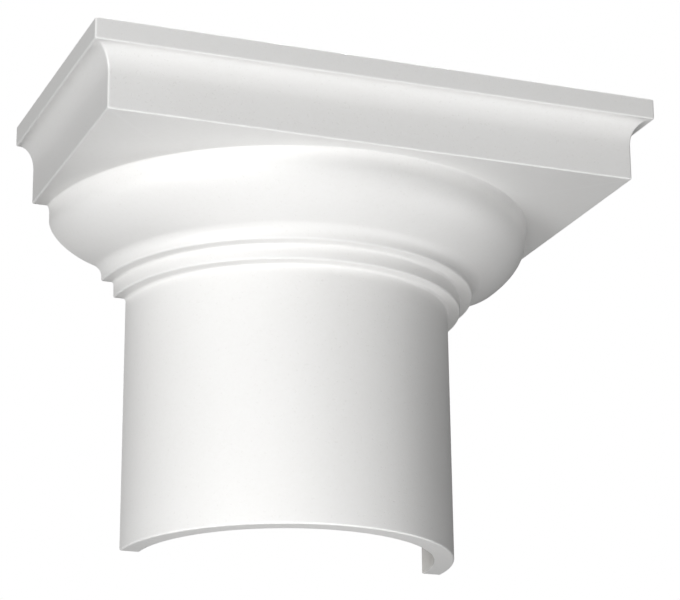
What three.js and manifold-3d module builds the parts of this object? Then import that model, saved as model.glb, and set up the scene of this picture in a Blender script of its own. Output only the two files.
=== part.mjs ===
// Half column capital in one casting: a square-edged abacus with a cove moulding, a round echinus, two
// annulets and a hollow half-round neck, flat at the back. Millimetres, +Z up, the front facing -Y and the
// flat back +Y. It stands on the neck's foot at Z = 0, with X = 0 and Y = 0 in the middle of its outline.
import * as THREE from 'three';
import { mergeVertices } from 'three/addons/utils/BufferGeometryUtils.js';
import Module from 'manifold-3d';

const wasm = await Module();
wasm.setup();

// Neck, the hollow half-round shaft at the foot, which narrows a little upwards
const NECK_HEIGHT = 176;
const NECK_FOOT_RADIUS = 116;
const NECK_TAPER = 1; // how much smaller the radius is at the annulets than at the foot
const SHELL_THICKNESS = 14;

// Annulets, the two stepped rings on top of the neck, each undercut by a cove
const ANNULET_COUNT = 2;
const ANNULET_STEP = 8.75;
const ANNULET_PITCH = 11;
const ANNULET_COVE_RADIUS = 2;

// Echinus, the round cushion between the annulets and the abacus
const ECHINUS_HEIGHT = 50;
const ECHINUS_SETBACK = 12.1; // from the abacus's band in to the widest ring
const ECHINUS_TILT = 16.7; // degrees that the cushion's underside rises where it meets its lower cove
const ECHINUS_FOOT_FACE = 3; // upright face between the upper annulet's edge and the lower cove
const ECHINUS_RIM_FACE = 4.5; // upright face between the cushion and the upper cove
const ECHINUS_LOWER_COVE_RADIUS = 8;
const ECHINUS_UPPER_COVE_HEIGHT = 6.5;
const ECHINUS_UPPER_COVE_PROJECTION = 2;

// Abacus, the block on top, half of a square in plan
const ABACUS_WIDTH = 390;
const BAND_HEIGHT = 24.5;
const CAVETTO_HEIGHT = 16;
const CAVETTO_PROJECTION = 10;
const FILLET_HEIGHT = 14.5;
const FILLET_LIP = 2.5; // flat strip under the fillet, outside the cavetto

// Hollow, a straight half-round core with a rounded upper edge
const CROWN_THICKNESS = 40; // solid stock left above the hollow
const CORE_EDGE_RADIUS = 8;

// Every outer edge is slightly rounded
const ARRIS_RADIUS = 1.2;

// Facets
const RING_SEGMENTS = 96;
const ARRIS_STEPS = 2;
const COVE_STEPS = 4;
const CAVETTO_STEPS = 6;
const CUSHION_STEPS = 9;

// Heights and radii that follow from the sizes above
const soffitHeight = NECK_HEIGHT + (ANNULET_COUNT - 1) * ANNULET_PITCH + ECHINUS_HEIGHT;
const filletBottom = soffitHeight + BAND_HEIGHT + CAVETTO_HEIGHT;
const totalHeight = filletBottom + FILLET_HEIGHT;
const halfWidth = ABACUS_WIDTH / 2;
const depth = ABACUS_WIDTH / 2;
const bandHalfWidth = halfWidth - FILLET_LIP - CAVETTO_PROJECTION;
const neckTopRadius = NECK_FOOT_RADIUS - NECK_TAPER;
const coreRadius = NECK_FOOT_RADIUS - SHELL_THICKNESS;

const quarterTurn = Math.PI / 2;

// Points on an elliptical arc about (radius, height), from one angle to another in radians, where 0 points
// outward and a quarter turn up.
function arc(radius, height, spread, rise, from, to, steps) {
  return Array.from({ length: steps + 1 }, (_, i) => {
    const angle = from + ((to - from) * i) / steps;
    return new THREE.Vector2(radius + spread * Math.cos(angle), height + rise * Math.sin(angle));
  });
}

// Rounded outer edge at the foot of an upright face, met from below
function lowerArris(radius, height) {
  const round = ARRIS_RADIUS;
  return arc(radius - round, height + round, round, round, -quarterTurn, 0, ARRIS_STEPS);
}

// Rounded outer edge at the head of an upright face, met from below
function upperArris(radius, height) {
  const round = ARRIS_RADIUS;
  return arc(radius - round, height - round, round, round, 0, quarterTurn, ARRIS_STEPS);
}

// Quarter hollow from an upright face at radius out to an overhang at height
function cove(radius, height, spread, rise, steps) {
  return arc(radius + spread, height - rise, spread, rise, Math.PI, quarterTurn, steps);
}

// Outline of the neck, annulets and echinus from the foot up, as radius and height
function roundOutline() {
  const outline = [...lowerArris(NECK_FOOT_RADIUS, 0)];
  for (let i = 0; i < ANNULET_COUNT; i++) {
    const inner = neckTopRadius + i * ANNULET_STEP;
    const edge = NECK_HEIGHT + i * ANNULET_PITCH;
    outline.push(...cove(inner, edge, ANNULET_COVE_RADIUS, ANNULET_COVE_RADIUS, COVE_STEPS));
    outline.push(...lowerArris(inner + ANNULET_STEP, edge));
  }
  outline.push(...echinusOutline());
  return outline;
}

// The echinus: a cove, a cushion and a second cove. The cushion is a quarter ellipse leaned over, so that
// it leaves the lower cove at the tilt and stands upright at the widest ring.
function echinusOutline() {
  const tilt = THREE.MathUtils.degToRad(ECHINUS_TILT);
  const footRadius = neckTopRadius + ANNULET_COUNT * ANNULET_STEP;
  const coveCentre = soffitHeight - ECHINUS_HEIGHT + ECHINUS_FOOT_FACE;
  const lower = ECHINUS_LOWER_COVE_RADIUS;
  const lowerCentre = footRadius + lower;
  const lowerCove = arc(lowerCentre, coveCentre, lower, lower, Math.PI, quarterTurn + tilt, COVE_STEPS);

  const upperHeight = ECHINUS_UPPER_COVE_HEIGHT;
  const widestRadius = bandHalfWidth - ECHINUS_SETBACK;
  const widestHeight = soffitHeight - upperHeight - ECHINUS_RIM_FACE;
  const start = lowerCove[lowerCove.length - 1];
  const spread = widestRadius - start.x;
  const lean = spread * Math.tan(tilt);
  const rise = widestHeight - start.y - lean;
  const cushion = [];
  for (let i = 1; i <= CUSHION_STEPS; i++) {
    const angle = quarterTurn * (1 - i / CUSHION_STEPS);
    const inward = 1 - Math.cos(angle);
    const height = widestHeight - rise * Math.sin(angle) - lean * inward;
    cushion.push(new THREE.Vector2(widestRadius - spread * inward, height));
  }
  const projection = ECHINUS_UPPER_COVE_PROJECTION;
  const upperCove = cove(widestRadius, soffitHeight, projection, upperHeight, COVE_STEPS);
  return [...lowerCove, ...cushion, ...upperCove];
}

// Outline of the abacus from the soffit up, as half width and height
function abacusOutline() {
  return [
    ...lowerArris(bandHalfWidth, soffitHeight),
    ...cove(bandHalfWidth, filletBottom, CAVETTO_PROJECTION, CAVETTO_HEIGHT, CAVETTO_STEPS),
    ...lowerArris(halfWidth, filletBottom),
    ...upperArris(halfWidth, totalHeight),
  ];
}

// Turned solid: the outline is closed on the axis at both ends and goes round +Z.
function turned(outline, segments, startAngle = 0) {
  const first = outline[0];
  const last = outline[outline.length - 1];
  const closed = [new THREE.Vector2(0, first.y), ...outline, new THREE.Vector2(0, last.y)];
  return solid(new THREE.LatheGeometry(closed, segments, startAngle).rotateX(quarterTurn));
}

// Square solid with the outline on its four sides, mitred at the corners: a turning with four facets
function mitred(outline) {
  const corners = outline.map((point) => new THREE.Vector2(point.x * Math.SQRT2, point.y));
  return turned(corners, 4, quarterTurn / 2);
}

// Closed geometry to manifold solid, with the triangles that collapse on a turning's axis left out
function solid(geometry) {
  geometry.deleteAttribute('normal');
  geometry.deleteAttribute('uv');
  const merged = mergeVertices(geometry);
  const corners = merged.index.array;
  const triangles = [];
  for (let i = 0; i < corners.length; i += 3) {
    const [a, b, c] = corners.slice(i, i + 3);
    if (a !== b && b !== c && c !== a) triangles.push(a, b, c);
  }
  return new wasm.Manifold(new wasm.Mesh({
    numProp: 3,
    vertProperties: merged.attributes.position.array,
    triVerts: new Uint32Array(triangles),
  }));
}

function toGeometry(body) {
  const { vertProperties, triVerts } = body.getMesh();
  const geometry = new THREE.BufferGeometry();
  geometry.setAttribute('position', new THREE.BufferAttribute(vertProperties, 3));
  geometry.setIndex(new THREE.BufferAttribute(triVerts, 1));
  geometry.computeVertexNormals();
  return geometry;
}

// The neck, annulets and echinus, run on up into the abacus so that the two join
function roundBody() {
  const outline = roundOutline();
  const top = outline[outline.length - 1];
  return turned([...outline, new THREE.Vector2(top.x, soffitHeight + BAND_HEIGHT / 2)], RING_SEGMENTS);
}

// The core of the hollow, open at the foot
function core() {
  const roof = totalHeight - CROWN_THICKNESS;
  const round = CORE_EDGE_RADIUS;
  return turned([
    new THREE.Vector2(coreRadius, -SHELL_THICKNESS),
    ...arc(coreRadius - round, roof - round, round, round, 0, quarterTurn, COVE_STEPS),
  ], RING_SEGMENTS);
}

// The half space in front of the back plane, as a block that clears the whole capital
function frontHalf() {
  const size = 2 * (ABACUS_WIDTH + totalHeight);
  return solid(new THREE.BoxGeometry(size, size, size).translate(0, -size / 2, 0));
}

function halfCapital() {
  const body = roundBody().add(mitred(abacusOutline())).subtract(core()).intersect(frontHalf());
  const mesh = new THREE.Mesh(toGeometry(body), new THREE.MeshStandardMaterial({
    color: 0xf1f0ee,
    roughness: 0.5,
    metalness: 0,
  }));
  mesh.name = 'half_capital';
  mesh.position.y = depth / 2;
  return mesh;
}

const capital = new THREE.Group();
capital.add(halfCapital());

export default capital;
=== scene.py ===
"""Half column capital, cast in one piece of rigid foam with a white primer coat.

A square-edged abacus stands on a round echinus, two annulets and a hollow half-round neck, flat at the back.
The sizes below are in millimetres and the scene is in metres, with +Z up, the front facing -Y and the flat
back on the +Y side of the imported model's box. Turned forms are worked out round the axis of the rings, which
lies in the back plane.
"""

import math

import bpy
import numpy as np
from mathutils import Matrix, Vector


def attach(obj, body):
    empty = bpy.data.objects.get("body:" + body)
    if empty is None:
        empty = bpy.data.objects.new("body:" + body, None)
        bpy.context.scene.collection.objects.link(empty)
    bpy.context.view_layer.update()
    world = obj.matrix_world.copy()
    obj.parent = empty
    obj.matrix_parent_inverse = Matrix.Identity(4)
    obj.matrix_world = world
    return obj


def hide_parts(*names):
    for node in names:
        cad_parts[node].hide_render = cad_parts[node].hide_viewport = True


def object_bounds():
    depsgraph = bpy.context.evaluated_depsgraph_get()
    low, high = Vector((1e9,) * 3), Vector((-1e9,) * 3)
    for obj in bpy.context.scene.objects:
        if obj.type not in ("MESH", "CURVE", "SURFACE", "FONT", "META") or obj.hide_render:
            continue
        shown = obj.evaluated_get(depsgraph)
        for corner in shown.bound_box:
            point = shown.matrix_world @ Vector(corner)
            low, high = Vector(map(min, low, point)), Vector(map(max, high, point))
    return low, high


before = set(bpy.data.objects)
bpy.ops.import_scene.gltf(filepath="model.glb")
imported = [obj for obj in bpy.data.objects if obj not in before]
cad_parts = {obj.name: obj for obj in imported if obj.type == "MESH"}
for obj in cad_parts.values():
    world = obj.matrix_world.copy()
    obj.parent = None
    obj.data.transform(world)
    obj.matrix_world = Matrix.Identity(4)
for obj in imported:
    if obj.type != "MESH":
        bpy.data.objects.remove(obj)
cad_low, cad_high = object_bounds()

MM = 0.001

# Neck, the hollow half-round shaft at the foot
NECK_HEIGHT = 176.0
NECK_FOOT_RADIUS = 116.0
NECK_TAPER = 1.0
SHELL_THICKNESS = 14.0
INNER_ARRIS_RADIUS = 1.0

# Annulets, the two stepped rings on top of the neck
ANNULET_COUNT = 2
ANNULET_STEP = 8.75
ANNULET_PITCH = 11.0
ANNULET_COVE_RADIUS = 2.0

# Echinus, the round cushion between the annulets and the abacus
ECHINUS_HEIGHT = 50.0
ECHINUS_SETBACK = 12.1
ECHINUS_TILT = 16.7
ECHINUS_FOOT_FACE = 3.0
ECHINUS_RIM_FACE = 4.5
ECHINUS_LOWER_COVE_RADIUS = 8.0
ECHINUS_UPPER_COVE_HEIGHT = 6.5
ECHINUS_UPPER_COVE_PROJECTION = 2.0

# Abacus, half of a square in plan; its width and the whole height come from the frame
HALF_WIDTH = (cad_high.x - cad_low.x) / 2 / MM
TOP = cad_high.z / MM
BACK = cad_high.y / MM
FILLET_HEIGHT = 14.5
FILLET_LIP = 2.5
CAVETTO_PROJECTION = 10.0
CAVETTO_HEIGHT = 16.0

# Hollow
CROWN_THICKNESS = 40.0
CORE_EDGE_RADIUS = 8.0

# Rounded edges: along the mouldings, up the mitred corners and round the flat back
ARRIS_RADIUS = 1.2
MITRE_RADIUS = 1.2
MITRE_DEGREES = 45.0  # where the corners are, from the middle of the front
BACK_EDGE_RADIUS = 0.7  # less than the arrises, so that its inset outline never crosses itself
FLAT_MARGIN = 0.3  # narrow strip of true flat beside each rounded edge, so that the flat shades as one

# Fineness of the surface
COLUMN_DEGREES = 1.0
BACK_COLUMN_DEGREES = 0.6  # the last spacing, beside the back
ARRIS_STEPS = 5
COVE_STEPS = 10
CAVETTO_STEPS = 18
CUSHION_STEPS = 34
MITRE_STEPS = 8
BACK_EDGE_STEPS = 4
PRIMED_STEPS = 2  # how far the primer goes round the back's edge, in steps of its rounding

# Colours of the primer, with a lighter one on the rounded edges that is worn primer and a painted highlight,
# of the bare foam at the back and in the hollow, darker than the foam's own colour as painted shade for the
# hollow, and of the floor
PRIMER_THIN = (0.845, 0.838, 0.823, 1)
PRIMER_FULL = (0.880, 0.877, 0.868, 1)
PRIMER_GRAIN = (0.90, 0.90, 0.895, 1)
PRIMER_PIT = (0.70, 0.69, 0.67, 1)
# Lighter on the rounded edges: worn primer, and a painted highlight along the arrises and the back's edge
PRIMER_WORN_AND_HIGHLIT = (0.925, 0.922, 0.915, 1)
# Bare foam, darker than its own colour as painted shade for the inside of the hollow
FOAM_AND_SHADE_DARK = (0.62, 0.608, 0.588, 1)
FOAM_AND_SHADE_LIGHT = (0.66, 0.648, 0.628, 1)
FOAM_PORE = (0.47, 0.45, 0.42, 1)
FLOOR_DARK = (0.37, 0.37, 0.367, 1)
FLOOR_LIGHT = (0.40, 0.40, 0.397, 1)
WHITE = (1, 1, 1, 1)

# Relief of the primer and the foam, as the height in metres that 1 stands for
RELIEF_HEIGHT = 0.00006

# Floor, and where the lamps of the even lights stand, in metres
FLOOR_REACH = 30.0
FLOOR_DROP = 0.0004
EVEN_LIGHT_DISTANCE = 2.0  # for order only, since their light is the same at any distance

# Camera: where the photograph was taken from, as its place, its angles and its focal length in pixels
FRAME_WIDTH_PX = 680
FOCAL_PX = 2626.05
SENSOR_MM = 36.0
CAMERA_PLACE = (-0.59826, -1.54728, -0.38978)
CAMERA_AZIMUTH = -21.295
CAMERA_ELEVATION = -18.271
CAMERA_ROLL = -0.468


def arc(radius, height, spread, rise, start, stop, steps):
    """Elliptical arc: radius + spread cos t, height + rise sin t, with t from start to stop in degrees."""
    t = np.radians(np.linspace(start, stop, steps + 1))
    return np.stack([radius + spread * np.cos(t), height + rise * np.sin(t)], axis=1)


def lower_arris(radius, height):
    """Rounded outer edge at the foot of an upright face, from the face down to the underside."""
    r = ARRIS_RADIUS
    return arc(radius - r, height + r, r, r, 0, -90, ARRIS_STEPS)


def cove(radius, height, spread, rise, steps):
    """Quarter hollow from an overhang at height in to the upright face at radius below it."""
    return arc(radius + spread, height - rise, spread, rise, 90, 180, steps)


def cushion(widest_radius, widest_height, foot_radius, foot_height):
    """Quarter ellipse leaned over, from the widest ring down to the foot.

    radius = widest - spread (1 - cos t), height = widest - rise sin t - lean (1 - cos t), with t from 0 to 90
    degrees, so the cushion is upright at the widest ring and leaves its foot at the tilt.
    """
    t = np.radians(np.linspace(0, 90, CUSHION_STEPS + 1))
    spread = widest_radius - foot_radius
    lean = spread * math.tan(math.radians(ECHINUS_TILT))
    rise = widest_height - foot_height - lean
    inward = 1 - np.cos(t)
    return np.stack([widest_radius - spread * inward,
                     widest_height - rise * np.sin(t) - lean * inward], axis=1)


def join(curves):
    """One outline through the curves in turn, and 1 where a point is on a rounded edge of small radius.

    Where a straight stretch joins two curves, a point is added just inside each of its ends.
    """
    points = []
    edge = []
    for place, (curve, is_edge) in enumerate(curves):
        if place:
            start, end = points[-1][-1], curve[0]
            length = np.linalg.norm(end - start)
            if length > 3 * FLAT_MARGIN:
                inside = (end - start) / length * FLAT_MARGIN
                points.append(np.stack([start + inside, end - inside]))
                edge.append(np.zeros(2))
        points.append(curve)
        edge.append(np.full(len(curve), float(is_edge)))
    return np.concatenate(points), np.concatenate(edge)


def abacus_outline():
    """Half width and height of the abacus from its top in to the soffit, top and soffit flats included."""
    soffit = NECK_HEIGHT + (ANNULET_COUNT - 1) * ANNULET_PITCH + ECHINUS_HEIGHT
    fillet_bottom = TOP - FILLET_HEIGHT
    band = HALF_WIDTH - FILLET_LIP - CAVETTO_PROJECTION
    r = ARRIS_RADIUS
    return join([
        (np.array([[HALF_WIDTH - r - FLAT_MARGIN, TOP]]), False),
        (arc(HALF_WIDTH - r, TOP - r, r, r, 90, 0, ARRIS_STEPS), True),
        (lower_arris(HALF_WIDTH, fillet_bottom), True),
        (cove(band, fillet_bottom, CAVETTO_PROJECTION, CAVETTO_HEIGHT, CAVETTO_STEPS), False),
        (lower_arris(band, soffit), True),
        (np.array([[band - r - FLAT_MARGIN, soffit]]), False),
    ])


def round_outline():
    """Radius and height of the echinus, annulets, neck, foot and hollow, from the soffit to the ceiling.

    Beside the points it gives 1 for those on a rounded edge, and 1 for those inside the hollow.
    """
    last_step = NECK_HEIGHT + (ANNULET_COUNT - 1) * ANNULET_PITCH
    soffit = last_step + ECHINUS_HEIGHT
    band = HALF_WIDTH - FILLET_LIP - CAVETTO_PROJECTION
    neck_top = NECK_FOOT_RADIUS - NECK_TAPER
    widest = band - ECHINUS_SETBACK
    foot = neck_top + ANNULET_COUNT * ANNULET_STEP
    out, up = ECHINUS_UPPER_COVE_PROJECTION, ECHINUS_UPPER_COVE_HEIGHT
    lower, hollow = ECHINUS_LOWER_COVE_RADIUS, ANNULET_COVE_RADIUS
    cove_end = 90 + ECHINUS_TILT
    lower_cove = arc(foot + lower, last_step + ECHINUS_FOOT_FACE, lower, lower, cove_end, 180, COVE_STEPS)
    belly = cushion(widest, soffit - up - ECHINUS_RIM_FACE, *lower_cove[0])
    curves = [
        (np.array([[widest + out + FLAT_MARGIN, soffit]]), False),
        (cove(widest, soffit, out, up, COVE_STEPS), False),
        (belly[:-1], False),
        (lower_cove, False),
    ]
    for step in reversed(range(ANNULET_COUNT)):
        inner, height = neck_top + step * ANNULET_STEP, NECK_HEIGHT + step * ANNULET_PITCH
        curves.append((lower_arris(inner + ANNULET_STEP, height), True))
        curves.append((cove(inner, height, hollow, hollow, COVE_STEPS), False))
    curves.append((lower_arris(NECK_FOOT_RADIUS, 0), True))
    outside, outside_edge = join(curves)

    bore = NECK_FOOT_RADIUS - SHELL_THICKNESS
    ceiling = TOP - CROWN_THICKNESS
    r, core = INNER_ARRIS_RADIUS, CORE_EDGE_RADIUS
    inside, inside_edge = join([
        (outside[-1:] - (FLAT_MARGIN, 0), False),
        (arc(bore + r, r, r, r, -90, -180, ARRIS_STEPS), True),
        (arc(bore - core, ceiling - core, core, core, 0, 90, COVE_STEPS), False),
        (np.array([[bore - core - FLAT_MARGIN, ceiling]]), False),
    ])
    rows = np.concatenate([outside, inside])
    in_hollow = np.concatenate([np.zeros(len(outside)), (inside[:, 0] < bore + r / 2).astype(float)])
    return rows, np.concatenate([outside_edge, inside_edge]), in_hollow


def column_angles():
    """Angles round the axis from -90 at the left end of the back to 90 at the right, in radians from -Y.

    They are even, with close ones through the two mitred corners and one beside the back at each end. Beside
    them it gives the close ones through the right corner, in degrees.
    """
    centre = HALF_WIDTH - CAVETTO_PROJECTION / 2 - MITRE_RADIUS
    t = np.radians(np.linspace(0, 90, MITRE_STEPS + 1))
    across = np.degrees(np.arctan2(centre + MITRE_RADIUS * np.sin(t), centre + MITRE_RADIUS * np.cos(t)))
    beside = math.degrees(2 * FLAT_MARGIN / centre)
    corner = np.concatenate([[across[0] - beside], across, [across[-1] + beside]])
    even = np.arange(COLUMN_DEGREES, 90, COLUMN_DEGREES)
    even = even[np.abs(even - MITRE_DEGREES) > COLUMN_DEGREES / 2]
    by_back = 90 - BACK_COLUMN_DEGREES
    right = np.sort(np.concatenate([even[even < by_back], corner, [by_back, 90]]))
    return np.radians(np.concatenate([-right[::-1], [0], right])), corner


def square_reach(half_width, angles):
    """Distance from the axis to a square with rounded corners, one row for each half width.

    A ray meets the side at half width / max(|sin|, |cos|). Near a corner it meets the corner's circle, at
    u.c + sqrt((u.c)^2 - c.c + radius^2) for the ray's direction u and the circle's centre c.
    """
    sine, cosine = np.abs(np.sin(angles))[None], np.abs(np.cos(angles))[None]
    half = half_width[:, None]
    side = half / np.maximum(sine, cosine)
    centre = half - MITRE_RADIUS
    along = centre * (sine + cosine)
    inside = np.maximum(along ** 2 - 2 * centre ** 2 + MITRE_RADIUS ** 2, 0)
    return np.where(side * np.minimum(sine, cosine) > centre, along + np.sqrt(inside), side)


def inset_loops(loop, inset):
    """The closed loop of points moved in by each inset, square to its sides, with mitred corners.

    Each point moves by (n1 + n2) / (1 + n1.n2), where n1 and n2 are the outward normals of its two sides.
    """
    ahead = np.roll(loop, -1, axis=0) - loop
    ahead /= np.linalg.norm(ahead, axis=1, keepdims=True)
    after = np.stack([-ahead[:, 1], ahead[:, 0]], axis=1)
    before = np.roll(after, 1, axis=0)
    mitre = (before + after) / (1 + np.sum(before * after, axis=1, keepdims=True))
    return loop[None] - mitre[None] * inset[:, None, None]


def quads(index, close=False):
    """Faces between neighbouring rows and columns of a grid of vertex numbers.

    A closed grid also has faces from its last column back to its first.
    """
    if close:
        index = np.concatenate([index, index[:, :1]], axis=1)
    corners = [index[:-1, :-1], index[1:, :-1], index[1:, 1:], index[:-1, 1:]]
    return np.stack(corners, axis=-1).reshape(-1, 4).tolist()


def cap(row, facing_up):
    """Flat closing of a row: a thin strip along the back, and one face for the rest."""
    strip, rest = [row[0], row[1], row[-2], row[-1]], row[1:-1]
    faces = [strip, rest.tolist()]
    return faces if facing_up else [face[::-1] for face in faces]


def capital_surface():
    """Vertices and faces of the whole casting, and 1 at each vertex on a rounded edge and on bare foam.

    A grid runs from the top of the abacus down its side, in along the soffit, down the echinus and the neck,
    round the foot and up the hollow to its ceiling, with a column for each angle. The top, the ceiling and
    the back are closed by flat faces, and a rounded edge joins the grid to the back.
    """
    square, square_edge = abacus_outline()
    turned, turned_edge, in_hollow = round_outline()
    angles, corner = column_angles()
    outline = np.concatenate([square, turned])
    reach = np.concatenate([square_reach(square[:, 0], angles),
                            np.repeat(turned[:, :1], len(angles), axis=1)])
    x = reach * np.sin(angles)
    forward = np.maximum(reach * np.cos(angles), BACK_EDGE_RADIUS)
    z = np.repeat(outline[:, 1:], len(angles), axis=1)
    skin = np.stack([x, BACK - forward, z], axis=-1)

    loop = np.concatenate([skin[:, -1], skin[::-1, 0]])[:, [0, 2]]
    turn = np.radians(np.linspace(0, 90, BACK_EDGE_STEPS + 1))[1:]
    inset = np.append(BACK_EDGE_RADIUS * (1 - np.cos(turn)), BACK_EDGE_RADIUS + FLAT_MARGIN / 2)
    depth = np.append(BACK - BACK_EDGE_RADIUS * (1 - np.sin(turn)), BACK)
    rings = inset_loops(loop, inset)
    depths = np.repeat(depth[:, None], len(loop), axis=1)
    edge_rings = np.stack([rings[..., 0], depths, rings[..., 1]], axis=-1)

    rows, columns = skin.shape[:2]
    grid = np.arange(rows * columns).reshape(rows, columns)
    first = np.concatenate([grid[:, -1], grid[::-1, 0]])
    ring_index = rows * columns + np.arange(len(depth) * len(loop)).reshape(len(depth), len(loop))
    faces = quads(grid)
    faces += quads(np.concatenate([first[None], ring_index])[:, ::-1], close=True)
    faces += cap(grid[0], facing_up=True) + cap(grid[-1], facing_up=False)
    faces.append(ring_index[-1].tolist())

    mitre = np.zeros_like(angles)
    mitre[(np.abs(np.degrees(angles)) > corner[0]) & (np.abs(np.degrees(angles)) < corner[-1])] = 1
    is_square = np.concatenate([np.ones(len(square)), np.zeros(len(turned))])
    edge = np.maximum(np.concatenate([square_edge, turned_edge])[:, None], is_square[:, None] * mitre)
    edge[:, [0, -1]] = 1
    ring_edge = np.ones(ring_index.shape)
    ring_edge[-1] = 0
    hollow = np.repeat(np.concatenate([np.zeros(len(square)), in_hollow])[:, None], columns, axis=1)
    ring_hollow = np.ones(ring_index.shape)
    ring_hollow[:PRIMED_STEPS] = 0
    vertices = np.concatenate([skin.reshape(-1, 3), edge_rings.reshape(-1, 3)]) * MM
    return (vertices, faces, np.concatenate([edge.ravel(), ring_edge.ravel()]),
            np.concatenate([hollow.ravel(), ring_hollow.ravel()]))


def make_piece(name, vertices, faces, masks):
    """Mesh object at the origin, smooth shaded, with a number at each vertex for each mask."""
    mesh = bpy.data.meshes.new(name)
    mesh.from_pydata(vertices.tolist(), [], faces)
    mesh.polygons.foreach_set("use_smooth", np.ones(len(mesh.polygons), bool))
    for mask, values in masks.items():
        mesh.attributes.new(mask, "FLOAT", "POINT").data.foreach_set("value", values.astype(np.float32))
    mesh.update()
    piece = bpy.data.objects.new(name, mesh)
    bpy.context.scene.collection.objects.link(piece)
    return piece


class Value:
    """A node's output. Arithmetic on one that is a number adds a maths node."""

    def __init__(self, finish, socket):
        self.finish = finish
        self.socket = socket

    def maths(self, operation, first, second):
        """The result of one operation on two values or numbers."""
        node = self.finish.node("ShaderNodeMath", {"operation": operation}, {0: first, 1: second})
        return Value(self.finish, node.outputs[0])

    def __add__(self, other):
        return self.maths("ADD", self, other)

    def __sub__(self, other):
        return self.maths("SUBTRACT", self, other)

    def __rsub__(self, other):
        return self.maths("SUBTRACT", other, self)

    def __mul__(self, other):
        return self.maths("MULTIPLY", self, other)

    __radd__ = __add__
    __rmul__ = __mul__


class Finish:
    """The nodes of a material, or of the surroundings, made from types, settings and sockets."""

    def __init__(self, owner):
        self.owner = owner
        self.owner.use_nodes = True
        self.tree = self.owner.node_tree
        self.tree.nodes.clear()

    def node(self, kind, settings=None, inputs=None):
        """A node of a kind, with its settings set first and then its sockets' values or links."""
        made = self.tree.nodes.new(kind)
        for key, setting in (settings or {}).items():
            setattr(made, key, setting)
        for key, value in (inputs or {}).items():
            socket = made.inputs[key]
            if isinstance(value, Value):
                self.tree.links.new(value.socket, socket)
            else:
                socket.default_value = value
        return made

    def value(self, kind, output, settings=None, inputs=None):
        """One output, by name or number, of a node made for it."""
        return Value(self, self.node(kind, settings, inputs).outputs[output])

    def attribute(self, name):
        """The number that each vertex holds under a name."""
        return self.value("ShaderNodeAttribute", "Fac", {"attribute_name": name})

    def noise(self, per_metre, detail=2.0, roughness=0.5):
        """Even noise from 0 to 1 in the piece's own space."""
        place = self.value("ShaderNodeTexCoord", "Object")
        return self.value("ShaderNodeTexNoise", "Fac", None,
                          {"Vector": place, "Scale": per_metre, "Detail": detail, "Roughness": roughness})

    def ramp(self, value, start, stop):
        """0 at start, 1 at stop, smooth between them and level beyond them."""
        return self.value("ShaderNodeMapRange", "Result", {"interpolation_type": "SMOOTHSTEP"},
                          {"Value": value, "From Min": start, "From Max": stop})

    def mix(self, share, first, second):
        """A colour between two, by a share from 0 to 1.

        Its sockets go by number, because the mixes of numbers, directions and colours share their names.
        """
        factor, a, b, colour = 0, 6, 7, 2
        return self.value("ShaderNodeMix", colour, {"data_type": "RGBA"},
                          {factor: share, a: first, b: second})

    def bump(self, height, distance):
        """The surface's direction with a height laid on it, where 1 stands for the distance in metres."""
        return self.value("ShaderNodeBump", "Normal", None, {"Height": height, "Distance": distance})


def primed_foam():
    """Smooth moulded foam under a sprayed white primer, satin, with a chalkier back and hollow of bare foam,
    darker than its own colour as painted shade for the hollow.

    The primer goes from thin to full with the clouds, is a little lighter on its grain and on the worn edges,
    where the lighter tone is also a painted highlight along the arrises and the back's edge, and darker in its
    pits.
    Bare foam has pores instead, and is darker than its own colour as painted shade for the hollow. The relief
    is the sum of grain, spray and a slow unevenness, less the pits and pores.
    """
    finish = Finish(bpy.data.materials.new("primed_foam"))
    edge = finish.attribute("edge")
    bare = finish.attribute("bare")

    cloud = finish.noise(per_metre=9.0, detail=3.0)
    unevenness = finish.noise(per_metre=60.0)
    grain = finish.noise(per_metre=420.0, roughness=0.6)
    spray = finish.noise(per_metre=1100.0, detail=1.0)
    pits = finish.ramp(finish.noise(per_metre=700.0, detail=0.0), start=0.27, stop=0.20)
    pores = finish.ramp(finish.noise(per_metre=330.0, detail=1.0), start=0.36, stop=0.24) * bare

    primer = finish.mix(cloud, PRIMER_THIN, PRIMER_FULL)
    primer = finish.mix(finish.ramp(grain, start=0.3, stop=0.7) * 0.25, primer, PRIMER_GRAIN)
    primer = finish.mix(pits * 0.18, primer, PRIMER_PIT)
    # lighter on the rounded edges: worn primer and a painted highlight
    primer = finish.mix(edge * 0.35, primer, PRIMER_WORN_AND_HIGHLIT)
    # bare foam, darker than its own colour as painted shade for the hollow
    foam = finish.mix(cloud, FOAM_AND_SHADE_DARK, FOAM_AND_SHADE_LIGHT)
    foam = finish.mix(pores * 0.5, foam, FOAM_PORE)
    colour = finish.mix(bare, primer, foam)

    roughness = 0.40 + cloud * 0.08 + grain * 0.06 - edge * 0.06 + bare * 0.22
    relief = grain * 0.5 + spray * 0.3 - pits * 0.8 - pores * 3.0 + unevenness * 1.2
    shader = finish.value("ShaderNodeBsdfPrincipled", "BSDF", None, {
        "Base Color": colour,
        "Roughness": roughness,
        "IOR": 1.5,
        "Specular IOR Level": 0.5,
        "Normal": finish.bump(relief, RELIEF_HEIGHT),
    })
    finish.node("ShaderNodeOutputMaterial", None, {"Surface": shader})
    return finish.owner


def half_capital():
    """The casting in its primer, drawn finely in the place of the plain solid."""
    vertices, faces, edge, bare = capital_surface()
    piece = make_piece("fine_capital", vertices, faces, {"edge": edge, "bare": bare})
    piece.data.materials.append(primed_foam())
    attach(piece, "root")
    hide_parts("half_capital")


def direction(azimuth, elevation):
    """Unit vector from the object, with azimuth 0 towards -Y and 90 towards +X, in degrees."""
    a, e = math.radians(azimuth), math.radians(elevation)
    return Vector((math.sin(a) * math.cos(e), -math.cos(a) * math.cos(e), math.sin(e)))


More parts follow.
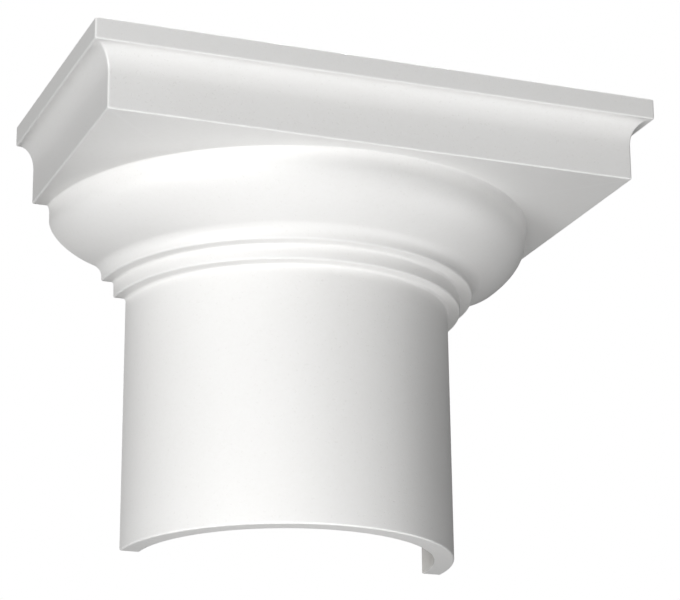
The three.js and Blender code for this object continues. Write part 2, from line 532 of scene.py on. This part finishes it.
def photo_camera():
    """Camera at the photograph's place, with its back along the given direction and a small roll."""
    back = direction(CAMERA_AZIMUTH, CAMERA_ELEVATION)
    level = Vector((math.cos(math.radians(CAMERA_AZIMUTH)), math.sin(math.radians(CAMERA_AZIMUTH)), 0))
    above = back.cross(level)
    roll = math.radians(CAMERA_ROLL)
    right = level * math.cos(roll) + above * math.sin(roll)
    up = above * math.cos(roll) - level * math.sin(roll)
    lens = bpy.data.cameras.new("photo_camera")
    lens.sensor_width = SENSOR_MM
    lens.sensor_fit = "HORIZONTAL"
    lens.lens = FOCAL_PX / FRAME_WIDTH_PX * SENSOR_MM
    lens.clip_start = 0.05
    lens.clip_end = 100
    camera = bpy.data.objects.new("photo_camera", lens)
    bpy.context.scene.collection.objects.link(camera)
    turn = Matrix((right, up, back)).transposed().to_4x4()
    camera.matrix_world = Matrix.Translation(Vector(CAMERA_PLACE)) @ turn
    bpy.context.scene.camera = camera


def place_light(light, azimuth, elevation, distance):
    """A lamp that looks at the middle of the object from the given side and distance."""
    lamp = bpy.data.objects.new(light.name, light)
    bpy.context.scene.collection.objects.link(lamp)
    toward = direction(azimuth, elevation)
    lamp.location = (cad_low + cad_high) / 2 + toward * distance
    lamp.rotation_euler = toward.to_track_quat("Z", "Y").to_euler()


def soft_light(name, azimuth, elevation, distance, width, radiance):
    """Square area light that looks at the object. A white card that faces it would shine at the radiance."""
    light = bpy.data.lights.new(name, "AREA")
    light.shape = "SQUARE"
    light.size = width
    light.energy = radiance * math.pi ** 2 * distance ** 2
    place_light(light, azimuth, elevation, distance)


def even_light(name, azimuth, elevation, radiance, spread):
    """Light from very far away, as wide as the spread in degrees, that lights the whole floor evenly."""
    light = bpy.data.lights.new(name, "SUN")
    light.angle = math.radians(spread)
    light.energy = radiance * math.pi
    place_light(light, azimuth, elevation, EVEN_LIGHT_DISTANCE)


def surroundings(shown, fill):
    """Plain surroundings that the camera sees at one brightness and that light the object at another."""
    finish = Finish(bpy.data.worlds.new("studio"))
    seen = finish.value("ShaderNodeLightPath", "Is Camera Ray")
    level = seen * (shown - fill) + fill
    white = finish.value("ShaderNodeBackground", "Background", None,
                         {"Color": WHITE, "Strength": level})
    finish.node("ShaderNodeOutputWorld", None, {"Surface": white})
    bpy.context.scene.world = finish.owner


def pale_floor():
    """Plain pale floor just under the foot, seen from above only, so that the low camera looks past it.

    A faint glow of its own keeps its shadows soft, and it lights nothing else.
    """
    corners = np.array([(-1, -1, 0), (1, -1, 0), (1, 1, 0), (-1, 1, 0)]) * FLOOR_REACH - (0, 0, FLOOR_DROP)
    floor = make_piece("floor", corners, [[0, 1, 2, 3]], {})
    finish = Finish(bpy.data.materials.new("pale_floor"))
    dust = finish.noise(per_metre=0.8, detail=3.0)
    paint = finish.value("ShaderNodeBsdfPrincipled", "BSDF", None, {
        "Base Color": finish.mix(dust, FLOOR_DARK, FLOOR_LIGHT),
        "Roughness": 0.9,
        "Specular IOR Level": 0.0,
        "Emission Color": WHITE,
        "Emission Strength": 0.32,
    })
    clear = finish.value("ShaderNodeBsdfTransparent", "BSDF")
    below = finish.value("ShaderNodeNewGeometry", "Backfacing")
    factor, front, back = 0, 1, 2
    side = finish.value("ShaderNodeMixShader", "Shader", None, {factor: below, front: paint, back: clear})
    finish.node("ShaderNodeOutputMaterial", None, {"Surface": side})
    floor.data.materials.append(finish.owner)
    floor.visible_diffuse = False
    floor.visible_glossy = False
    floor.visible_shadow = False


def studio():
    """White surroundings, even light from above and behind, and soft lights low round the front.

    The strongest is broad and low on the left. Two are close, one below the front and one under the foot, and
    the other two fill in from the right and the front.
    """
    surroundings(shown=1.0, fill=0.015)
    even_light("overhead", azimuth=0, elevation=90, radiance=0.75, spread=20)
    even_light("behind", azimuth=155, elevation=35, radiance=0.7, spread=10)
    soft_light("left", azimuth=-55, elevation=-12, distance=8.0, width=2.8, radiance=0.674)
    soft_light("near", azimuth=-30, elevation=-35, distance=0.7, width=0.35, radiance=0.238)
    soft_light("right", azimuth=80, elevation=-38, distance=2.6, width=0.9, radiance=0.281)
    soft_light("front", azimuth=-15, elevation=0, distance=8.0, width=2.8, radiance=0.199)
    soft_light("under", azimuth=-20, elevation=-75, distance=0.5, width=0.25, radiance=0.20)
    pale_floor()
    bpy.context.scene.view_settings.view_transform = "Standard"


photo_camera()
half_capital()
studio()
